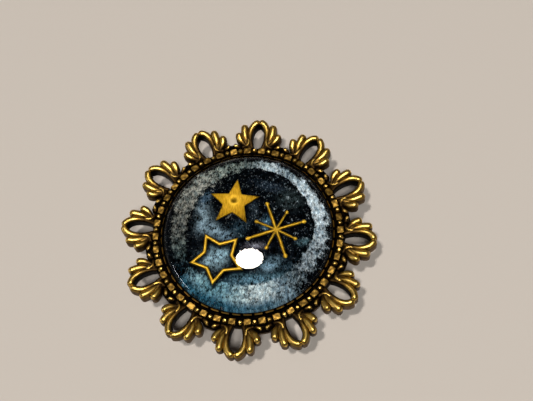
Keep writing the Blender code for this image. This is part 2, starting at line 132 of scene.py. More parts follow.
def turned(profile, steps):
    """A grid turned about Z: each (radius, height) point of the profile becomes a circle.

    A radius may be an array with one value for each step, so that an edge can wave.
    """
    angle = np.linspace(0, 2 * np.pi, steps, endpoint=False)
    rows = [np.stack([r * np.cos(angle), r * np.sin(angle), z + 0 * angle], -1) for r, z in profile]
    return np.array(rows)[None]


def antiqued_brass():
    """Cast brass, darkened all over and rubbed bright again on what stands up.

    The attribute crest is 1 on a rib's top, about 0.3 on a wall and 0 in a recess: bright yellow
    gold, brown, and nearly black. The wear shifts it by up to a quarter in patches of 0.9 mm.
    What lies within 0.35 mm of a corner is darkened too, as painted shade from occlusion.
    The grain of the casting is 0.12 mm, a little coarser than the real one so that it shows.
    """
    material, tree = new_material("antiqued_cast_brass")
    place = add_node(tree, "TexCoord").outputs["Object"]
    crest = add_node(tree, "Attribute", attribute_name="crest").outputs["Fac"]
    stain = add_node(tree, "TexNoise", {"Vector": place, "Scale": 1100.0, "Detail": 4.0})
    worn = add_node(tree, "Math", {0: stain.outputs["Fac"], 1: 0.5, 2: -0.25},
                    operation="MULTIPLY_ADD")
    height = add_node(tree, "Math", {0: crest, 1: worn.outputs[0]}, operation="ADD", use_clamp=True)
    metal = add_node(tree, "ValToRGB", {"Fac": height.outputs[0]}, ramp=[
        (0.05, "080503"), (0.3, "4E3A20"), (0.6, "866830"), (0.85, "C29C4A"), (1.0, "E8C266")])
    # Painted shade: within 0.35 mm of a corner, by occlusion, the colour goes to near black.
    corner = add_node(tree, "AmbientOcclusion", {"Distance": 0.35 * MM}, samples=8)
    depth = add_node(tree, "ValToRGB", {"Fac": corner.outputs["AO"]}, ramp=[
        (0.12, "000000"), (0.5, "FFFFFF")])
    dark = add_node(tree, "Mix", {"Factor": depth.outputs["Color"], "A": linear("050302"),
                                  "B": metal.outputs["Color"]}, data_type="RGBA")
    gloss = add_node(tree, "MapRange", {"Value": height.outputs[0], "To Min": 0.6, "To Max": 0.36})
    grain = add_node(tree, "TexNoise", {"Vector": place, "Scale": 8000.0, "Detail": 2.0})
    bump = add_node(tree, "Bump", {"Height": grain.outputs["Fac"], "Strength": 0.3,
                                   "Distance": 0.02 * MM})
    shader = add_node(tree, "BsdfPrincipled", {
        "Base Color": dark.outputs["Result"], "Metallic": 1.0, "Roughness": gloss.outputs["Result"],
        "Normal": bump.outputs["Normal"]})
    add_node(tree, "OutputMaterial", {"Surface": shader.outputs[0]})
    return material


setting_low, setting_high = (np.array(corner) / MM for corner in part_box("filigree_setting"))
disc_low, disc_high = (np.array(corner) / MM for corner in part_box("painted_backing"))
loop_count = 12
back = setting_low[2]
tray_floor = disc_low[2] - 0.05
tray_radius = disc_high[0] + 0.1
bezel_radius = tray_radius + 0.55
ring_inner = tray_radius + 0.9
ring_outer = ring_inner + 1.1
web_radius = ring_outer + 1.3
recess_radius = tray_radius - 0.75
recess_depth = 0.25
ring_seat = back + 1.35

brass = antiqued_brass()
rim_steps = 720
around = np.linspace(0, 2 * np.pi, rim_steps, endpoint=False)
# The web reaches web_radius between the loops and stays close to the ring under them.
between_loops = smooth(1.4 - 1.6 * np.abs(np.cos(loop_count / 2 * around)))
web_edge = ring_outer + 0.15 + (web_radius - ring_outer - 0.15) * between_loops
tray_profile = [
    (0, tray_floor), (tray_radius, tray_floor), (tray_radius, ring_seat), (ring_inner, ring_seat),
    (ring_outer, ring_seat), (ring_outer + 0.12, ring_seat - 0.15), (ring_outer + 0.14, back + 1.0),
    (web_edge, back + 0.9), (web_edge + 0.08, back + 0.8), (web_edge + 0.08, back + 0.1),
    (web_edge, back), (recess_radius + 0.05, back), (recess_radius, back + 0.05),
    (recess_radius, back + recess_depth), (0, back + recess_depth),
]
tray_crest = np.array([0, 0, 0, 0, 0, 0, 0, 0.02, 0.2, 0.25, 0.45, 0.55, 0.4, 0.3, 0.45])
tray = surface("setting_tray", turned(tray_profile, rim_steps), brass, (False, True),
               crest=tray_crest[None, :, None])
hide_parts("filigree_setting")
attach(tray, "brooch")

# ---------------------------------------------------------------------------------------------
# Bezel: the thin upright lip that holds the dome. A row of raised dashes runs round the slope on
# its outside, with narrow dark gaps between them. It is cast with the tray.

dash_count = 50
dash_shift = 0.02
dash_gap = 0.22
dash_slope = 0.05
dash_height = 0.07
bezel_top = setting_high[2]
phase = dash_count * (around + dash_shift) / (2 * np.pi)
from_gap = 0.5 - np.abs(phase % 1 - 0.5)
dash = smooth((from_gap - dash_gap / 2) / dash_slope)
rise = dash_height * dash
bezel_rows = [
    # radius, height, crest
    (tray_radius, ring_seat - 0.2, 0.0),
    (tray_radius, bezel_top - 0.12, 0.0),
    (tray_radius + 0.04, bezel_top - 0.03, 0.02),
    (tray_radius + 0.1, bezel_top, 0.1),
    (tray_radius + 0.15, bezel_top - 0.05, 0.0),
    (tray_radius + 0.18 + rise, bezel_top - 0.08, 0.5),
    (tray_radius + 0.25 + rise, bezel_top - 0.19, 1.2),
    (tray_radius + 0.33 + rise, bezel_top - 0.29, 1.2),
    (tray_radius + 0.37, bezel_top - 0.4, 0.0),
    (tray_radius + 0.44, bezel_top - 0.5, 0.0),
    (bezel_radius, bezel_top - 0.65, 0.0),
    (bezel_radius, ring_seat - 0.2, 0.0),
]
bezel_grid = turned([(r, z) for r, z, c in bezel_rows], rim_steps)
bezel_crest = np.array([c * dash for r, z, c in bezel_rows])
bezel = surface("bezel_lip", bezel_grid, brass, (True, True), crest=bezel_crest[None])
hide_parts("filigree_setting")
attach(bezel, "brooch")

# ---------------------------------------------------------------------------------------------
# Block ring: forty cushion-shaped blocks with a small bead between each two, cast on the ring
# outside the bezel. Each stands a little differently, as in any hand-finished casting.

rng = np.random.default_rng(7)


def studs(angles, radius, across, outward, square, flat, low, top, rough, rub_and_highlight):
    """Grids of studs that stand on a ring, one at each clockwise angle from +Y.

    The outline is a superellipse: cos and sin to the power square, times the half sizes across
    and outward. At the share s of the way from the middle to the edge the height falls from top
    to low by s to the power flat, and rough adds low dents, cos(5 u + a) cos(6 v + b) with a
    shift of its own for each stud. Each stud's size, tilt, height and place differ a little too.
    The last rows drop into the ring and close the body below. crest on top is the last argument,
    rubbed bright brass and on the beads partly a painted highlight, and falls to 0 on the side.
    """
    share = np.array([0.0, 0.25, 0.5, 0.7, 0.82, 0.91, 0.97, 1.0, 1.03, 0.0])
    turn = np.linspace(0, 2 * np.pi, 24, endpoint=False)
    count = len(angles)
    size = rng.normal(1, 0.04, (2, count, 1, 1))
    tilt = rng.normal(0, 0.07, (2, count, 1, 1))
    shift = rng.uniform(0, 2 * np.pi, (2, count, 1, 1))
    wave = [np.sign(part) * np.abs(part) ** square for part in (np.cos(turn), np.sin(turn))]
    u = across * size[0] * share[None, :, None] * wave[0]
    v = outward * size[1] * share[None, :, None] * wave[1]
    fall = (1 - np.clip(share, 0, 1) ** flat)[None, :, None]
    fall[:, -1] = 0
    dents = rough * fall * np.cos(5 * u + shift[0]) * np.cos(6 * v + shift[1])
    z = low + (top - low) * fall + dents + tilt[0] * u + tilt[1] * v
    z = z + rng.normal(0, 0.02, (count, 1, 1))
    z[:, -2:] = low - 0.3
    sway = angles[:, None, None] + rng.normal(0, 0.003, (count, 1, 1))
    out = radius + v
    x = out * np.sin(sway) + u * np.cos(sway)
    y = out * np.cos(sway) - u * np.sin(sway)
    grid = np.stack([x, y, z], -1)
    crest = np.broadcast_to(rub_and_highlight * fall ** 0.3, u.shape) + 3 * dents
    crest[:, -3:] = 0
    return grid, crest


block_count = 40
block_pitch = 2 * np.pi / block_count
first_block = np.radians(3.3)
block_angles = first_block + block_pitch * np.arange(block_count)
ring_middle = (ring_inner + ring_outer) / 2
block_top = bezel_top - 0.4
block_grid, block_crest = studs(
    block_angles, ring_middle, across=0.74, outward=0.58, square=0.36, flat=26, low=ring_seat,
    top=block_top, rough=0.03, rub_and_highlight=0.64)
blocks = surface("ring_blocks", block_grid, brass, (False, True), crest=block_crest)
# The beads' higher value makes them brighter than the blocks: rubbed brass and partly a painted
# highlight on their small round tops.
bead_grid, bead_crest = studs(
    block_angles + block_pitch / 2, ring_middle + 0.05, across=0.44, outward=0.44, square=0.9,
    flat=5.0, low=ring_seat, top=block_top + 0.12, rough=0.0, rub_and_highlight=1.2)
beads = surface("ring_beads", bead_grid, brass, (False, True), crest=bead_crest)
for piece in (blocks, beads):
    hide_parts("filigree_setting")
    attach(piece, "brooch")

# ---------------------------------------------------------------------------------------------
# Loops: twelve pierced shells round the ring. A pair of ribs arches over a pointed hole. On
# either side are a long and a short rib, the low foot that they spring from, a fold over their
# roots, and a bead. All are cast with tall plain walls.


def ribs(routes, widths, tops, base, walls, shine):
    """Grids of ribs with round crests and upright walls, shape (copies, rows, columns, 3).

    A route is a cubic curve in (across, outward) with four control points, and t goes from 0 to
    1 along it. The half width goes from the first of widths to the second by 3 s^2 - 2 s^3, with
    s = 1.2 t, and closes as a quarter circle past each end. The top climbs from the first of tops
    to the second as 1 - (1 - t)^1.15. The section is half an ellipse, 0.8 as high as its half
    width, on two walls that stand a little wider and go down to base. walls are the crest values
    of the outer and the inner wall. shine is the crown's, and the foot has a quarter of it.
    """
    body = np.linspace(0, 1, 15)
    cap = np.linspace(0, np.pi / 2, 6)[1:]
    t = np.concatenate([0 * cap, body, 0 * cap + 1])
    shrink = np.concatenate([np.cos(cap[::-1]), 0 * body + 1, np.cos(cap)])
    reach = np.concatenate([-np.sin(cap[::-1]), 0 * body, np.sin(cap)])
    rest = 1 - t
    weight = np.stack([rest ** 3, 3 * rest ** 2 * t, 3 * rest * t ** 2, t ** 3], -1)
    slope = np.stack([-rest ** 2, rest ** 2 - 2 * rest * t, 2 * rest * t - t ** 2, t ** 2], -1)
    middle = np.einsum("rk,ckd->crd", weight, routes)
    along = np.einsum("rk,ckd->crd", slope, routes)
    along /= np.linalg.norm(along, axis=-1, keepdims=True)
    width = widths[0] + (widths[1] - widths[0]) * smooth(t * 1.2)
    middle = middle + along * (reach * width)[None, :, None]
    side = np.stack([along[..., 1], -along[..., 0]], -1)
    arch = np.linspace(0, np.pi, 13)
    half = width * shrink
    climb = 1 - (1 - t) ** 1.15
    crown_height = 0.8
    shoulder = tops[0] + (tops[1] - tops[0]) * climb - crown_height * width - 0.1 * (1 - shrink)
    crown_x = half[:, None] * np.cos(arch)
    crown_z = shoulder[:, None] + crown_height * half[:, None] * np.sin(arch)
    wall = half[:, None] * 1.1
    wall_z = shoulder[:, None] - 0.35
    x = np.concatenate([wall * 0.97, wall, crown_x, -wall, -wall * 0.97], 1)
    z = np.concatenate([0 * wall + base, wall_z, crown_z, wall_z, 0 * wall + base], 1)
    skirt = np.where(np.cos(arch) > 0, walls[0], walls[1])
    # Rubbed bright toward the tip, and partly painted light: a painted highlight on the outer half
    # and painted shade on the root, which keeps a quarter of the value.
    rub_and_highlight = shine * (0.24 + 0.76 * smooth(2.0 * t - 0.45))[:, None]
    crown = skirt + (rub_and_highlight - skirt) * np.sin(arch) ** 0.9
    edges = np.ones((len(t), 2))
    crest = np.concatenate([edges * walls[0], crown, edges * walls[1]], 1)
    plan = middle[:, :, None, :] + side[:, :, None, :] * x[None, :, :, None]
    grid = np.concatenate([plan, np.broadcast_to(z[None, :, :, None], plan.shape[:3] + (1,))], -1)
    return grid, np.broadcast_to(crest, grid.shape[:3])


rib_forms = [
    # route as (across, outwards), half widths, tops, crest values of the walls and the crown
    ("arch", ((0.98, 17.15), (1.72, 18.9), (1.95, 21.4), (0.48, 22.18)),
     (0.36, 0.6), (7.9, 8.5), (0.35, 0), 1.1),
    ("long", ((1.5, 17.35), (1.95, 18.4), (2.65, 19.3), (2.6, 21.08)),
     (0.28, 0.66), (7.75, 8.46), (0.35, 0.2), 1.1),
    ("short", ((1.95, 17.3), (2.6, 18.0), (3.35, 18.4), (3.6, 19.38)),
     (0.26, 0.62), (7.75, 8.4), (0.35, 0.2), 1.1),
    ("fold", ((2.6, 17.1), (2.1, 17.25), (1.4, 17.5), (1.65, 18.55)),
     (0.24, 0.24), (8.05, 8.2), (0.3, 0.3), 0.95),
    ("foot", ((1.5, 17.4), (1.8, 17.8), (2.1, 18.3), (2.45, 18.9)),
     (0.55, 0.75), (7.85, 8.0), (0.3, 0.25), 0.62),
    ("bead", ((3.3, 17.12), (3.5, 17.15), (3.8, 17.2), (4.0, 17.3)),
     (0.3, 0.33), (8.05, 8.12), (0.1, 0.1), 1.1),
]
loop_angles = 2 * np.pi / loop_count * np.arange(loop_count)
loop_turn = loop_angles[:, None, None]
for label, points, widths, tops, walls, shine in rib_forms:
    grids, crests = [], []
    for mirror in (1, -1):
        rib_shift = rng.normal(0, 0.03, (loop_count, 1, 2))
        bend_shift = rng.normal(0, 0.02, (loop_count, 4, 2))
        routes = np.array(points) + rib_shift + bend_shift
        grid, crest = ribs(routes, widths, tops, back + 0.05, walls, shine)
        u, v, z = np.moveaxis(grid, -1, 0)
        u = mirror * u
        x = u * np.cos(loop_turn) + v * np.sin(loop_turn)
        y = v * np.cos(loop_turn) - u * np.sin(loop_turn)
        grids.append(np.stack([x, y, z], -1))
        crests.append(crest)
    piece = surface(f"loop_{label}_ribs", np.concatenate(grids), brass, (False, True),
                    crest=np.concatenate(crests))
    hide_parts("filigree_setting")
    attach(piece, "brooch")

# ---------------------------------------------------------------------------------------------
# Painted disc: a night sky in acrylics, hand painted on a thin disc and sealed under the dome.
# A pale ring runs round near-black navy, with blue-grey clouds and fine dry-brush marks.

ring_strokes = [
    # angle in degrees from +X, inner and outer radius of the pale ring, its colour, its cover
    (-180, 10.5, 13.4, "75746D", 0.56), (-165, 10.7, 13.2, "646D69", 0.52),
    (-153, 11.0, 13.0, "50605F", 0.42), (-146, 11.2, 13.4, "3C5560", 0.15),
    (-137, 10.9, 14.2, "70909A", 0.6), (-130, 10.2, 14.2, "8CB0B8", 0.85),
    (-117, 10.2, 14.3, "6E9AA6", 0.74), (-104, 10.0, 14.3, "769CA8", 0.72),
    (-93, 9.8, 14.3, "A4BEC4", 0.84), (-80, 9.7, 14.3, "D2DEDF", 0.93),
    (-66, 9.7, 14.3, "CAD6D9", 0.9), (-54, 9.8, 14.4, "8A9CA6", 0.7),
    (-44, 10.1, 14.0, "707E85", 0.52), (-36, 10.2, 13.1, "757E83", 0.5),
    (-24, 10.4, 13.4, "98A1A7", 0.64), (-10, 10.9, 13.4, "A3ADB3", 0.7),
    (3, 11.3, 13.5, "BCC7CE", 0.84), (17, 11.5, 13.9, "D2DDE4", 0.95),
    (32, 11.7, 13.9, "D9E4EA", 0.97), (48, 11.9, 13.6, "D6E2E9", 0.97),
    (60, 12.0, 13.5, "9AA9B2", 0.66), (66, 12.0, 13.6, "9AA9B0", 0.62),
    (73, 12.0, 13.8, "D0DCE2", 0.95), (84, 12.1, 13.8, "C4D2D6", 0.9),
    (92, 12.0, 13.7, "84908F", 0.58), (102, 11.8, 13.7, "848E87", 0.56),
    (118, 11.4, 13.8, "939A90", 0.64), (134, 10.9, 14.0, "A9A79D", 0.72),
    (150, 10.6, 14.0, "9C9A90", 0.7), (166, 10.5, 13.8, "86847B", 0.62),
    (180, 10.5, 13.4, "75746D", 0.56),
]
clouds = [
    # middle, half sizes along and across, turn in degrees, colour, strength
    (-8.1, 3.4, 1.3, 1.0, 80, "6E828E", 0.8), (-7.5, 1.0, 1.9, 1.2, 70, "6C808C", 0.85),
    (-5.3, -0.4, 2.4, 1.1, -25, "6C8290", 0.85), (-3.3, -1.2, 1.2, 0.8, 0, "5A7182", 0.8),
    (-7.8, 5.8, 1.3, 0.8, 60, "3F5568", 0.8), (-5.3, -5.3, 2.2, 1.7, 20, "7C97A4", 0.92),
    (-3.7, -4.4, 1.2, 1.0, 0, "7C9AA8", 0.7), (2.2, -8.5, 3.7, 0.8, 6, "567A8C", 0.9),
    (-0.5, -7.9, 1.6, 0.6, -20, "44606E", 0.8), (4.4, -5.8, 1.9, 1.0, 30, "637F90", 0.8),
    (9.7, -1.3, 1.0, 0.5, 20, "506E78", 0.8), (1.6, -2.7, 1.5, 0.7, 10, "66646E", 0.8),
    (3.2, 1.7, 0.8, 1.2, -10, "3E5F73", 0.8), (3.0, 8.6, 2.8, 0.9, -10, "232D38", 0.8),
    (6.9, 6.4, 2.1, 1.8, 0, "2C3638", 0.8), (-1.4, 0.6, 1.5, 1.1, 30, "22333E", 0.8),
    (7.6, -6.4, 1.9, 1.1, 40, "24343E", 0.8), (0.0, -10.0, 3.0, 0.8, 0, "3C5A6C", 0.7),
    (0.6, 4.3, 0.9, 1.8, 10, "232C34", 0.8), (5.2, -8.4, 1.6, 0.8, 35, "4B6A78", 0.8),
]


def star_outline(centre, tip, notch, turn, steps):
    """A five-pointed star's edge, with straight stretches: corners alternate between the tip
    and the notch radius every 36 degrees, and each stretch is cut into equal steps."""
    corner = np.arange(11)
    reach = np.where(corner % 2, notch, tip)
    angle = np.radians(turn + 36 * corner)
    x, y = reach * np.cos(angle), reach * np.sin(angle)
    t = np.arange(10 * steps) / steps
    return np.stack([centre[0] + np.interp(t, corner, x), centre[1] + np.interp(t, corner, y)], -1)


open_centre = np.array([-4.44, -5.47])
open_tip = 5.0
open_notch = 2.81
open_turn = 121.5
strip_width = 0.68
disc_top = disc_high[2]
disc_radius = disc_high[0] - 0.03

disc_share = np.concatenate([np.linspace(0, 1, 121), [1, 0]])
spoke = np.linspace(0, 2 * np.pi, 480, endpoint=False)
radius = disc_radius * disc_share[:, None] + 0 * spoke
level = np.full_like(radius, disc_top)
level[-2:] = disc_low[2]
x, y = radius * np.cos(spoke), radius * np.sin(spoke)
degrees = (np.degrees(spoke) + 180) % 360 - 180

# The under-painting: clouds laid one over another, each fading as exp(-d^2.4).
glaze = np.zeros(radius.shape + (3,)) + linear("04060A")[:3]
for cx, cy, length, breadth, turn, code, strength in clouds:
    c, s = np.cos(np.radians(turn)), np.sin(np.radians(turn))
    along = ((x - cx) * c + (y - cy) * s) / length
    aside = ((y - cy) * c - (x - cx) * s) / breadth
    amount = strength * np.exp(-(along ** 2 + aside ** 2) ** 1.2)
    glaze += (np.array(linear(code)[:3]) - glaze) * amount[..., None]

# The pale ring: edges that waver, and fade over inner_fade and outer_fade, which change round it.
station, inner, outer = np.array([stroke[:3] for stroke in ring_strokes]).T
cover = np.array([stroke[4] for stroke in ring_strokes])
tint = np.array([linear(stroke[3])[:3] for stroke in ring_strokes])
waver = 0.1 * np.sin(5 * spoke + 1) + 0.08 * np.sin(13 * spoke) + 0.07 * np.sin(29 * spoke + 2)
inner = np.interp(degrees, station, inner) + waver
outer = np.interp(degrees, station, outer) + waver[::-1]
cover = np.interp(degrees, station, cover)
tint = np.stack([np.interp(degrees, station, tint[:, i]) for i in range(3)], -1)
inner_fade = np.interp(degrees, [-180, -40, -10, 90, 110, 180], [1.3, 1.0, 0.35, 0.35, 1.3, 1.3])
outer_fade = np.interp(degrees, [-180, -60, -30, 10, 40, 90, 180],
                       [1.3, 0.8, 1.8, 1.6, 0.9, 0.8, 1.3])
ring = (smooth((radius - inner + inner_fade / 2) / inner_fade)
        * smooth((outer + outer_fade / 2 - radius) / outer_fade))

# A deep blue wash covers the ring's outer part at the lower left.
wash = smooth((radius - 12.0) / 1.7) * smooth((-45 - degrees) / 25) * smooth((degrees + 152) / 12)
stroke_colour = tint + (np.array(linear("24586F")[:3]) - tint) * (0.92 * wash)[..., None]

# Painted shade: the disc darkens at its edge and under the strip of the open star, where less light
# gets in.
strip_line = star_outline(open_centre, open_tip - 0.85 * strip_width, open_notch - strip_width / 2,
                          open_turn, 1)
strip_side = np.roll(strip_line, -1, 0) - strip_line
from_corner = np.stack([x, y], -1)[..., None, :] - strip_line
foot = np.clip((from_corner * strip_side).sum(-1) / (strip_side ** 2).sum(-1), 0, 1)[..., None]
from_strip = np.linalg.norm(from_corner - foot * strip_side, axis=-1).min(-1)
strip_shadow = smooth((0.95 - from_strip) / 0.7)
lit = smooth((disc_radius - 0.05 - radius) / 0.35) * (1 - 0.85 * strip_shadow)
glaze *= lit[..., None]
stroke_cover = ring * cover * (0.4 + 0.6 * lit)
stroke_colour = stroke_colour * (0.1 + 0.9 * lit[..., None])
glaze = np.concatenate([glaze, np.ones(radius.shape + (1,))], -1)[None]
strokes = np.concatenate([stroke_colour, stroke_cover[..., None]], -1)[None]
disc_grid = np.stack([x, y, level], -1)[None]


def painted_acrylic():
    """Acrylic paint, put on in thin dabs with a dry brush and sealed.

    The attribute glaze holds the smooth under-painting, with painted shade at the disc's edge and
    under the open star's strip. The attribute strokes holds the colour of the dry-brushed ring,
    with the same painted shade, and, as its alpha, how much of the ground it covers: paint lies
    where a stretched noise is above 1 - cover. The marks are 0.2 mm wide and twice as long, as a
    small flat brush leaves them, in dabs of 0.8 mm and patches of 0.5 mm. The tooth of the ground,
    0.1 mm, makes it grainy. Pale specks, 0.1 mm across, lie over all. The resin wets it and
    bends light as the paint does, so it has no gloss of its own.
    """
    material, tree = new_material("sealed_acrylic_painting")
    place = add_node(tree, "TexCoord").outputs["Object"]
    glaze_colour = add_node(tree, "Attribute", attribute_name="glaze").outputs["Color"]
    stroke = add_node(tree, "Attribute", attribute_name="strokes")
    brush = add_node(tree, "Mapping", {"Vector": place, "Rotation": (0, 0, 0.35),
                                       "Scale": (1.0, 0.5, 1.0)})
    marks = add_node(tree, "TexNoise", {"Vector": brush.outputs[0], "Scale": 5200.0, "Detail": 4.0,
                                        "Roughness": 0.6, "Distortion": 0.4})
    dabs = add_node(tree, "TexNoise", {"Vector": place, "Scale": 1300.0, "Detail": 3.0})
    mixed = add_node(tree, "Math", {0: dabs.outputs["Fac"], 1: 0.8, 2: marks.outputs["Fac"]},
                     operation="MULTIPLY_ADD")
    over = add_node(tree, "MapRange", {"Value": mixed.outputs[0], "From Min": 0.6, "From Max": 1.2})
    wet = add_node(tree, "Math", {0: over.outputs[0], 1: stroke.outputs["Alpha"]}, operation="ADD")
    laid = add_node(tree, "MapRange", {"Value": wet.outputs[0], "From Min": 0.74, "From Max": 1.26})
    deep = add_node(tree, "Mix", {"Factor": 1.0, "A": stroke.outputs["Color"],
                                  "B": linear("A9B9C4")}, data_type="RGBA", blend_type="MULTIPLY")
    patch = add_node(tree, "TexNoise", {"Vector": brush.outputs[0], "Scale": 2000.0, "Detail": 3.0})
    share = add_node(tree, "MapRange", {"Value": patch.outputs["Fac"], "From Min": 0.4,
                                        "From Max": 0.62})
    tone = add_node(tree, "Mix", {"Factor": share.outputs[0], "A": stroke.outputs["Color"],
                                  "B": deep.outputs["Result"]}, data_type="RGBA")
    light = add_node(tree, "MapRange", {"Value": mixed.outputs[0], "From Min": 0.68,
                                        "From Max": 1.12, "To Min": 0.08, "To Max": 1.3})
    lit_stroke = add_node(tree, "VectorMath", {0: tone.outputs["Result"],
                                               "Scale": light.outputs[0]}, operation="SCALE")
    mottle = add_node(tree, "MapRange", {"Value": mixed.outputs[0], "From Min": 0.72,
                                         "From Max": 1.12, "To Min": 0.0, "To Max": 2.1})
    lit_glaze = add_node(tree, "VectorMath", {0: glaze_colour, "Scale": mottle.outputs[0]},
                         operation="SCALE")
    painting = add_node(tree, "Mix", {"Factor": laid.outputs[0], "A": lit_glaze.outputs[0],
                                      "B": lit_stroke.outputs[0]}, data_type="RGBA")
    fleck = add_node(tree, "TexVoronoi", {"Vector": place, "Scale": 1800.0})
    speck = add_node(tree, "MapRange", {"Value": fleck.outputs["Distance"], "From Min": 0.08,
                                        "From Max": 0.2, "To Min": 0.08, "To Max": 0.0})
    tooth = add_node(tree, "TexNoise", {"Vector": brush.outputs[0], "Scale": 11000.0,
                                        "Detail": 2.0})
    relief = add_node(tree, "MapRange", {"Value": tooth.outputs["Fac"], "From Min": 0.35,
                                         "From Max": 0.65, "To Min": 0.66, "To Max": 1.37})
    grainy = add_node(tree, "VectorMath", {0: painting.outputs["Result"],
                                           "Scale": relief.outputs[0]}, operation="SCALE")
    sky = add_node(tree, "VectorMath", {0: grainy.outputs[0], 1: speck.outputs[0]}, operation="ADD")
    bump = add_node(tree, "Bump", {"Height": marks.outputs["Fac"], "Strength": 0.3,
                                   "Distance": 0.03 * MM})
    shader = add_node(tree, "BsdfPrincipled", {
        "Base Color": sky.outputs[0], "Roughness": 0.6, "Specular IOR Level": 0.0,
        "Normal": bump.outputs["Normal"]})
    add_node(tree, "OutputMaterial", {"Surface": shader.outputs[0]})
    return material


disc = surface("painted_disc", disc_grid, painted_acrylic(), (False, True), glaze=glaze,
               strokes=strokes)
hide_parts("painted_backing")
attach(disc, "brooch")

# ---------------------------------------------------------------------------------------------
# Charms: a flat star with a pressed dimple, a star bent from strip, and a burst of eight
# ball-ended arms. They are stamped from thin brass, gilt, and brushed.


def gilt_brass():
    """Gilt brass with a brushed finish: fine strokes 0.08 mm apart, drawn 0.11 mm apart so that
    they show, and a golden yellow that is deeper where the attribute crest is low. On the charms
    crest is painted light: high for a painted highlight, low for painted shade."""
    material, tree = new_material("brushed_gilt_brass")
    place = add_node(tree, "TexCoord").outputs["Object"]
    crest = add_node(tree, "Attribute", attribute_name="crest").outputs["Fac"]
    stretch = add_node(tree, "Mapping", {"Vector": place, "Rotation": (0, 0, 0.1),
                                         "Scale": (1.0, 0.12, 1.0)})
    strokes = add_node(tree, "TexNoise", {"Vector": stretch.outputs[0], "Scale": 9000.0,
                                          "Detail": 3.0})
    tone = add_node(tree, "Math", {0: strokes.outputs["Fac"], 1: 1.0, 2: -0.5},
                    operation="MULTIPLY_ADD")
    shade = add_node(tree, "Math", {0: crest, 1: tone.outputs[0]}, operation="ADD", use_clamp=True)
    gold = add_node(tree, "ValToRGB", {"Fac": shade.outputs[0]}, ramp=[
        (0.0, "342605"), (0.5, "967218"), (1.0, "DCB038")])
    gloss = add_node(tree, "MapRange", {"Value": strokes.outputs["Fac"], "To Min": 0.42,
                                        "To Max": 0.6})
    bump = add_node(tree, "Bump", {"Height": strokes.outputs["Fac"], "Strength": 0.35,
                                   "Distance": 0.02 * MM})
    shader = add_node(tree, "BsdfPrincipled", {
        "Base Color": gold.outputs["Color"], "Metallic": 1.0, "Roughness": gloss.outputs["Result"],
        "Normal": bump.outputs["Normal"]})
    add_node(tree, "OutputMaterial", {"Surface": shader.outputs[0]})
    return material


gilt = gilt_brass()
charm_low, charm_high = (np.array(corner)[2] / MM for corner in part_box("solid_star_charm"))

# Solid star: rows from the middle to the edge of the top, round the edge and back underneath.
star_centre = np.array([-2.67, 4.87])
star_edge = star_outline(star_centre, tip=4.62, notch=2.0, turn=88.5, steps=8)
star_share = np.array([
    0, 0.05, 0.1, 0.15, 0.2, 0.26, 0.33, 0.45, 0.6, 0.75, 0.88, 0.95, 0.985, 1, 1, 0.98, 0])
on_top = star_share[:, None] < 0.96
on_top[-1] = False
star_level = np.full(len(star_share), charm_high)
star_level[12:14] = charm_high - 0.03, charm_high - 0.09
star_level[14:] = charm_low + 0.03, charm_low, charm_low
star_plan = star_centre + star_share[:, None, None] * (star_edge - star_centre)
dimple_place = (0, 0.38)
from_dimple = np.linalg.norm(star_plan - star_centre - dimple_place, axis=-1)
raised_rim = np.exp(-((from_dimple - 0.74) / 0.25) ** 2)
dimple = 0.09 * np.exp(-(from_dimple / 0.36) ** 2) - 0.05 * raised_rim
star_z = np.where(on_top, charm_high - dimple, star_level[:, None])
star_grid = np.concatenate([star_plan, star_z[..., None]], -1)[None]
# Painted light: the top is lighter near the dimple and darker toward the tips, with a painted
# highlight on the dimple's raised rim, painted shade in its hollow, and on the edge and underside.
dimple_shading = raised_rim - 1.3 * np.exp(-(from_dimple / 0.4) ** 2)
star_tone = 0.6 - 0.045 * from_dimple ** 1.5 + 0.25 * dimple_shading
star_crest = np.where(on_top, star_tone, 0.1)[None]
solid_star = surface("solid_star", star_grid, gilt, (False, True), crest=star_crest)

# Open star: a strip with a rounded top, between an outer and an inner star outline.
outer_edge = star_outline(open_centre, open_tip, open_notch, open_turn, 6)
inner_edge = star_outline(open_centre, open_tip - 1.7 * strip_width, open_notch - strip_width,
                          open_turn, 6)
strip_arch = np.linspace(0, np.pi, 9)
strip_share = np.concatenate([[0.0], 0.5 - 0.5 * np.cos(strip_arch), [1.0]])
strip_top = charm_high - 0.2 + 0.2 * np.sin(strip_arch)
strip_level = np.concatenate([[charm_low], strip_top, [charm_low]])
strip_plan = inner_edge + strip_share[:, None, None] * (outer_edge - inner_edge)
strip_z = np.broadcast_to(strip_level[:, None, None], strip_plan.shape[:2] + (1,))
strip_grid = np.concatenate([strip_plan, strip_z], -1)[None]
# Painted light: the strip is lighter along its rounded top and darker down its sides and edges.
strip_crest = np.concatenate([[0.1], 0.15 + 0.85 * np.sin(strip_arch), [0.1]])[None, :, None]
open_star = surface("open_star", strip_grid, gilt, (True, True), crest=strip_crest)

# Starburst: four long arms and four short ones between them.
burst_centre = (5.06, 0.24)


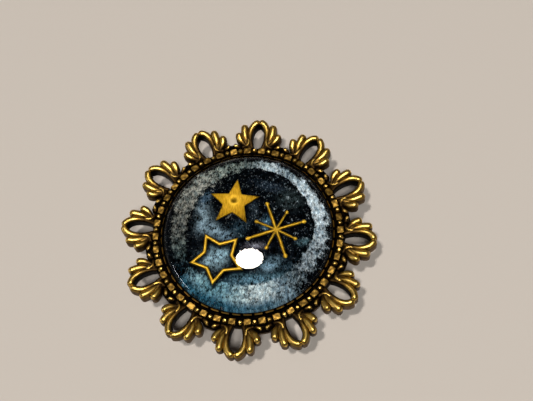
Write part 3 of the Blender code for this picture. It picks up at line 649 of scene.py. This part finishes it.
def burst_arms(turns, reach, half, ball):
    """Grids of straight arms from the middle outwards: a bar of round section, half wide, that
    narrows to a neck of three quarters and ends in a ball. At the distance d from the ball's
    middle, which is at reach, its half width is the square root of ball^2 - d^2."""
    neck = np.sqrt(ball ** 2 - (0.75 * half) ** 2)
    bar = np.linspace(-0.3, reach - neck, 20)
    bulge = reach - neck * np.cos(np.linspace(0, np.pi, 12)[1:-1])
    bulge = np.append(bulge, reach + ball * np.sin(np.linspace(0.85, np.pi / 2, 5)))
    d = np.concatenate([bar, np.sort(bulge)])
    width = np.where(d <= reach - neck, half * (1 - 0.25 * smooth((d - reach + neck + 0.9) / 0.9)),
                     np.sqrt(np.clip(ball ** 2 - (d - reach) ** 2, 0, None)))
    width[0] = 0
    arch = np.linspace(0, 2 * np.pi, 12, endpoint=False)
    middle = (charm_low + charm_high) / 2
    thick = (charm_high - charm_low) / 2
    across = width[:, None] * np.cos(arch)
    z = middle + np.minimum(thick, width * 1.1)[:, None] * np.sin(arch)
    turn = np.radians(turns)[:, None, None]
    x = d[:, None] * np.cos(turn) - across * np.sin(turn) + burst_centre[0]
    y = d[:, None] * np.sin(turn) + across * np.cos(turn) + burst_centre[1]
    on_ball = (d > reach - neck)[:, None]
    # Painted light: each arm is lighter along its top and darker underneath, with a painted
    # highlight on the balls.
    crest = np.broadcast_to(0.2 + 0.55 * np.sin(arch) + 0.25 * on_ball, x.shape)
    return np.stack([x, y, np.broadcast_to(z, x.shape)], -1), crest


long_turns = np.array([113.1, 22.4, -66.6, -157.3])
long_grid, long_crest = burst_arms(long_turns, reach=5.0, half=0.32, ball=0.43)
short_turns = np.array([65.3, 160.9, -111.7, -21.9])
short_grid, short_crest = burst_arms(short_turns, reach=3.65, half=0.25, ball=0.37)
starburst = surface("starburst", np.concatenate([long_grid, short_grid]), gilt, (False, True),
                    crest=np.concatenate([long_crest, short_crest]))
for piece, node in ((solid_star, "solid_star_charm"), (open_star, "open_star_charm"),
                    (starburst, "starburst_charm")):
    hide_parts(node)
    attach(piece, "brooch")

# ---------------------------------------------------------------------------------------------
# Dome: a clear polished cabochon, a crown of one radius that turns into an upright wall by a cubic
# curve. The resin under it holds the charms and wets the painting, so no air lies between; its
# foot stands in the bezel.

dome_low, dome_high = (np.array(corner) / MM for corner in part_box("clear_dome"))
dome_radius = dome_high[0]
crown_radius = 37.0
crown_reach = 12.9
crown_tilt = np.arcsin(crown_reach / crown_radius)
crown_angle = np.linspace(0, crown_tilt, 36)
crown = np.stack([crown_radius * np.sin(crown_angle),
                  dome_high[2] - crown_radius * (1 - np.cos(crown_angle))], -1)
wall_top = dome_low[2] + 0.8
bend = np.linspace(0, 1, 25)[1:, None]
bend_points = (crown[-1], crown[-1] + 1.05 * np.array([np.cos(crown_tilt), -np.sin(crown_tilt)]),
               (dome_radius, wall_top + 0.6), (dome_radius, wall_top))
shoulder = sum(k * (1 - bend) ** (3 - i) * bend ** i * np.array(bend_points[i])
               for i, k in enumerate((1, 3, 3, 1)))
foot_level = disc_top - 0.02
dome_profile = [*crown, *shoulder, (dome_radius, foot_level), (0, foot_level)]


def clear_resin():
    """Clear cast resin, polished: index 1.5, smooth, with a trace of blue in its depth. Lamps
    shine through it unbent, so that what lies in it is lit as it is in a real dome."""
    material, tree = new_material("clear_cast_resin")
    glass = add_node(tree, "BsdfPrincipled", {
        "Base Color": linear("F7FAFC"), "Roughness": 0.0, "IOR": 1.5, "Transmission Weight": 1.0})
    passing = add_node(tree, "BsdfTransparent", {"Color": linear("F4F7F9")})
    path = add_node(tree, "LightPath")
    mix = add_node(tree, "MixShader", {0: path.outputs["Is Shadow Ray"], 1: glass.outputs[0],
                                       2: passing.outputs[0]})
    add_node(tree, "OutputMaterial", {"Surface": mix.outputs[0]})
    return material


dome = surface("resin_dome", turned(dome_profile, 240), clear_resin(), (False, True), crease=60)
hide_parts("clear_dome")
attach(dome, "brooch")

# ---------------------------------------------------------------------------------------------
# Pin work: a brass bar soldered into the recess, a hinge bracket with its needle at one end and
# a turning catch at the other, riveted on.


def nickelled_steel():
    """Steel wire and sheet, nickel plated and barrelled: pale, warm grey, satin, with a haze in
    patches of 0.7 mm."""
    material, tree = new_material("nickel_plated_steel")
    place = add_node(tree, "TexCoord").outputs["Object"]
    haze = add_node(tree, "TexNoise", {"Vector": place, "Scale": 1500.0, "Detail": 4.0})
    colour = add_node(tree, "ValToRGB", {"Fac": haze.outputs["Fac"]}, ramp=[
        (0.3, "8E8B84"), (0.7, "C9C5BC")])
    gloss = add_node(tree, "MapRange", {"Value": haze.outputs["Fac"], "To Min": 0.18,
                                        "To Max": 0.42})
    shader = add_node(tree, "BsdfPrincipled", {
        "Base Color": colour.outputs["Color"], "Metallic": 1.0,
        "Roughness": gloss.outputs["Result"]})
    add_node(tree, "OutputMaterial", {"Surface": shader.outputs[0]})
    return material


def bronzed_sheet():
    """Rolled and wire brass with the same dark antique finish as the casting, but smooth: brown
    where the finish is whole, and yellow where it is rubbed, in patches of 1.4 mm and along the
    drawing lines, 0.14 mm apart."""
    material, tree = new_material("bronzed_rolled_brass")
    place = add_node(tree, "TexCoord").outputs["Object"]
    drawn = add_node(tree, "Mapping", {"Vector": place, "Scale": (0.1, 1.0, 1.0)})
    lines = add_node(tree, "TexNoise", {"Vector": drawn.outputs[0], "Scale": 7000.0, "Detail": 3.0})
    stain = add_node(tree, "TexNoise", {"Vector": place, "Scale": 700.0, "Detail": 4.0})
    mixed = add_node(tree, "Math", {0: lines.outputs["Fac"], 1: 0.5, 2: stain.outputs["Fac"]},
                     operation="MULTIPLY_ADD")
    metal = add_node(tree, "ValToRGB", {"Fac": mixed.outputs[0]}, ramp=[
        (0.5, "241A0E"), (0.72, "5E4826"), (0.92, "A1803C")])
    gloss = add_node(tree, "MapRange", {"Value": stain.outputs["Fac"], "From Min": 0.3,
                                        "From Max": 0.7, "To Min": 0.55, "To Max": 0.34})
    bump = add_node(tree, "Bump", {"Height": lines.outputs["Fac"], "Strength": 0.2,
                                   "Distance": 0.01 * MM})
    shader = add_node(tree, "BsdfPrincipled", {
        "Base Color": metal.outputs["Color"], "Metallic": 1.0, "Roughness": gloss.outputs["Result"],
        "Normal": bump.outputs["Normal"]})
    add_node(tree, "OutputMaterial", {"Surface": shader.outputs[0]})
    return material


def soft_solder():
    """Tin-lead solder, as it froze: dull blue-grey with pale frosty patches about 1 mm across and
    a skin that is slightly rippled."""
    material, tree = new_material("frozen_soft_solder")
    place = add_node(tree, "TexCoord").outputs["Object"]
    frost = add_node(tree, "TexNoise", {"Vector": place, "Scale": 1200.0, "Detail": 5.0})
    colour = add_node(tree, "ValToRGB", {"Fac": frost.outputs["Fac"]}, ramp=[
        (0.35, "63656A"), (0.65, "A6A8AC")])
    gloss = add_node(tree, "MapRange", {"Value": frost.outputs["Fac"], "To Min": 0.3,
                                        "To Max": 0.65})
    ripple = add_node(tree, "TexNoise", {"Vector": place, "Scale": 2500.0, "Detail": 2.0})
    bump = add_node(tree, "Bump", {"Height": ripple.outputs["Fac"], "Strength": 0.5,
                                   "Distance": 0.06 * MM})
    shader = add_node(tree, "BsdfPrincipled", {
        "Base Color": colour.outputs["Color"], "Metallic": 1.0,
        "Roughness": gloss.outputs["Result"], "Normal": bump.outputs["Normal"]})
    add_node(tree, "OutputMaterial", {"Surface": shader.outputs[0]})
    return material


for finish, nodes in (
        (nickelled_steel(), ("hinge_bracket", "hinge_bracket_rivet", "hinge_rivet", "pin_stem",
                             "catch_rivet")),
        (bronzed_sheet(), ("pin_bar", "catch_housing", "catch_roller")),
        (soft_solder(), ("solder_bed",))):
    for node in nodes:
        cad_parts[node].material_slots[0].material = finish

# ---------------------------------------------------------------------------------------------
# Stage: a pale matt floor, the camera, a wide lamp behind it, a smaller one above that casts the
# soft shadow, and two weak lamps that only show as reflections in the dome and on the brass.


def table_top():
    """Matt off-white laminate, warm grey and plain, with almost no gloss."""
    material, tree = new_material("matt_laminate")
    shader = add_node(tree, "BsdfPrincipled", {
        "Base Color": linear("CFC7C0"), "Roughness": 0.75, "Specular IOR Level": 0.2})
    add_node(tree, "OutputMaterial", {"Surface": shader.outputs[0]})
    return material


floor_radius = 3000
floor_grid = turned([(0, 0.0), (floor_radius, 0.0)], 64)
floor = surface("floor", floor_grid, table_top(), (False, True))

azimuth, elevation, roll = np.radians((15.0, 64.68, -10.57))
distance = 169.8
aim = np.array([0, 0, 7.3])
off_right, off_up = 3.32, 5.99
away = np.array([np.sin(azimuth) * np.cos(elevation), -np.cos(azimuth) * np.cos(elevation),
                 np.sin(elevation)])
level_right = np.array([np.cos(azimuth), np.sin(azimuth), 0])
level_up = np.cross(away, level_right)
right = np.cos(roll) * level_right + np.sin(roll) * level_up
up = np.cos(roll) * level_up - np.sin(roll) * level_right
eye = aim + distance * away + off_right * right + off_up * up
lens = bpy.data.cameras.new("camera")
lens.sensor_width = 36
lens.lens = 64.76
lens.clip_start = 0.01
camera = bpy.data.objects.new("camera", lens)
turn_camera = Matrix(np.stack([right, up, away], 1).tolist()).to_4x4()
camera.matrix_world = Matrix.Translation(Vector(eye) * MM) @ turn_camera
bpy.context.scene.collection.objects.link(camera)
bpy.context.scene.camera = camera
bpy.context.scene.view_settings.view_transform = "Standard"


def lamp(name, point, direction, reach, long_axis, half_sizes, watts, code, **seen_by):
    """An elliptical area lamp that stands at reach from a point, in a direction, and faces it,
    with the first of its half sizes along long_axis. seen_by switches off the kinds of ray that
    it doesn't light."""
    light = bpy.data.lights.new(name, "AREA")
    light.shape = "ELLIPSE"
    light.size, light.size_y = 2 * half_sizes[0] * MM, 2 * half_sizes[1] * MM
    light.energy = watts
    light.color = linear(code)[:3]
    holder = bpy.data.objects.new(name, light)
    way = Vector(direction).normalized()
    across = (Vector(long_axis) - way * way.dot(Vector(long_axis))).normalized()
    facing = Matrix((across, way.cross(across), way)).transposed()
    holder.matrix_world = Matrix.Translation((Vector(point) + way * reach) * MM) @ facing.to_4x4()
    for kind, seen in seen_by.items():
        setattr(holder, kind, seen)
    bpy.context.scene.collection.objects.link(holder)


brooch_middle = (0, 0, 6)
lamp("overhead_lamp", (1.33, -6.15, 11.46), (-0.055, 0.031, 0.998), 400, right, (59, 45), 0.95,
     "FFF8EC", visible_diffuse=False)
lamp("key_lamp", brooch_middle, away, 2400, right, (220, 220), 26.5, "FFFDF8",
     visible_glossy=False, visible_transmission=False)
lamp("side_lamp", brooch_middle, (-0.13, -0.2, 1.0), 2400, right, (80, 80), 31.0, "FFFAF2",
     visible_glossy=False, visible_transmission=False)
lamp("window_lamp", (-10.6, -9.5, 9.2), (-0.872, -0.272, 0.407), 500, (0.3, -0.95, 0), (120, 30),
     0.24, "F0F4FF", visible_diffuse=False)

world = bpy.data.worlds.new("room")
world.use_nodes = True
room = world.node_tree
room_way = add_node(room, "TexCoord").outputs["Generated"]
room_height = add_node(room, "SeparateXYZ", {"Vector": room_way}).outputs["Z"]
room_tone = add_node(room, "ValToRGB", {"Fac": room_height}, ramp=[
    (0.0, "7A766F"), (0.3, "2A2826"), (0.6, "0A0A0B")])
room.links.new(room_tone.outputs["Color"], room.nodes["Background"].inputs["Color"])
room.nodes["Background"].inputs["Strength"].default_value = 1.0
bpy.context.scene.world = world
